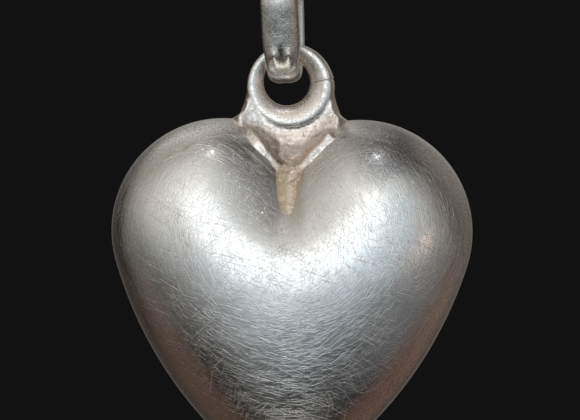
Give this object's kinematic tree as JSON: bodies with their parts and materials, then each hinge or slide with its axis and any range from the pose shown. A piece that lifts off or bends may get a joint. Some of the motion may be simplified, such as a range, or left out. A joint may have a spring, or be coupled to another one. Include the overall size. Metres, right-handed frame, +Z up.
{
  "type": "heart charm",
  "caption": "Puffed hollow heart charm in silver, with a ring soldered into the cleft between its lobes and a tapered bail loop that hangs it from a chain.",
  "frame": {"origin": "where a chain seats, on the inside of the bail's crown", "axes": "+Z up along the hanging charm, -Y out of the heart's front, +X to the right of someone who looks at the front"},
  "size_m": [0.02, 0.0092, 0.029],
  "materials": {
    "shell_silver": "polished silver, dulled by fine scratches in every direction",
    "worn_silver": "silver worn bright and smooth, with a grey film where it is not rubbed",
    "solder": "silver solder, tarnished warm"
  },
  "bodies": {
    "bail": {"bail": "worn_silver"},
    "heart": {"front_shell": "shell_silver", "back_shell": "shell_silver", "seam_solder": "solder", "hanging_ring": "worn_silver", "ring_solder": "solder"}
  },
  "joints": [
    {"name": "heart_swing", "type": "hinge", "parent": "bail", "child": "heart", "pos_m": [0, 0, -0.00421], "axis": [1, 0, 0], "range_deg": [-115, 115]}
  ]
}
